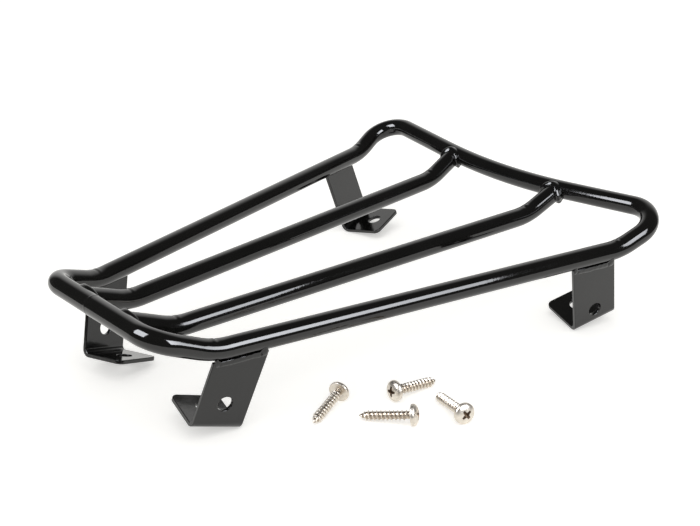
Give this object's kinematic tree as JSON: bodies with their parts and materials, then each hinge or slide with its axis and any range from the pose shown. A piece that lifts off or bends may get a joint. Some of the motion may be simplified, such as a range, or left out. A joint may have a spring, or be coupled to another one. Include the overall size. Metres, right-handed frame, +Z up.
{
  "type": "luggage rack",
  "caption": "Rigid welded tube luggage rack that tapers to one end, both ends bent up, on slanted L brackets with screw holes, with its loose pan head screws.",
  "frame": {"origin": "on the plane the feet stand on, on the rack's centre line, midway between the rack's two ends", "axes": "+X towards the wide end, +Y to the left, +Z up"},
  "size_m": [0.3469, 0.2744, 0.0747],
  "materials": {
    "coated_tube": "gloss black powder coat",
    "coated_strip": "black powder coat",
    "coated_weld": "gloss black powder coat over a weld bead",
    "screw_steel": "bright nickel plate"
  },
  "bodies": {
    "rack": {"bracket_narrow_left": "coated_strip", "bracket_narrow_right": "coated_strip", "bracket_wide_left": "coated_strip", "bracket_wide_right": "coated_strip", "inner_bar_left": "coated_tube", "inner_bar_right": "coated_tube", "outer_frame": "coated_tube", "weld_bar_narrow_left": "coated_weld", "weld_bar_narrow_right": "coated_weld", "weld_bar_wide_left": "coated_weld", "weld_bar_wide_right": "coated_weld", "weld_foot_narrow_left_inner": "coated_weld", "weld_foot_narrow_left_outer": "coated_weld", "weld_foot_narrow_right_inner": "coated_weld", "weld_foot_narrow_right_outer": "coated_weld", "weld_foot_wide_left_inner": "coated_weld", "weld_foot_wide_left_outer": "coated_weld", "weld_foot_wide_right_inner": "coated_weld", "weld_foot_wide_right_outer": "coated_weld", "weld_frame_seam": "coated_weld"},
    "screw_four_body": {"screw_four": "screw_steel"},
    "screw_one_body": {"screw_one": "screw_steel"},
    "screw_three_body": {"screw_three": "screw_steel"},
    "screw_two_body": {"screw_two": "screw_steel"}
  },
  "joints": [
    {"name": "screw_four_lift", "type": "slide", "parent": "rack", "child": "screw_four_body", "axis": [0, 0, 1], "range_m": [0, 0.03]},
    {"name": "screw_one_lift", "type": "slide", "parent": "rack", "child": "screw_one_body", "axis": [0, 0, 1], "range_m": [0, 0.03]},
    {"name": "screw_three_lift", "type": "slide", "parent": "rack", "child": "screw_three_body", "axis": [0, 0, 1], "range_m": [0, 0.03]},
    {"name": "screw_two_lift", "type": "slide", "parent": "rack", "child": "screw_two_body", "axis": [0, 0, 1], "range_m": [0, 0.03]}
  ]
}
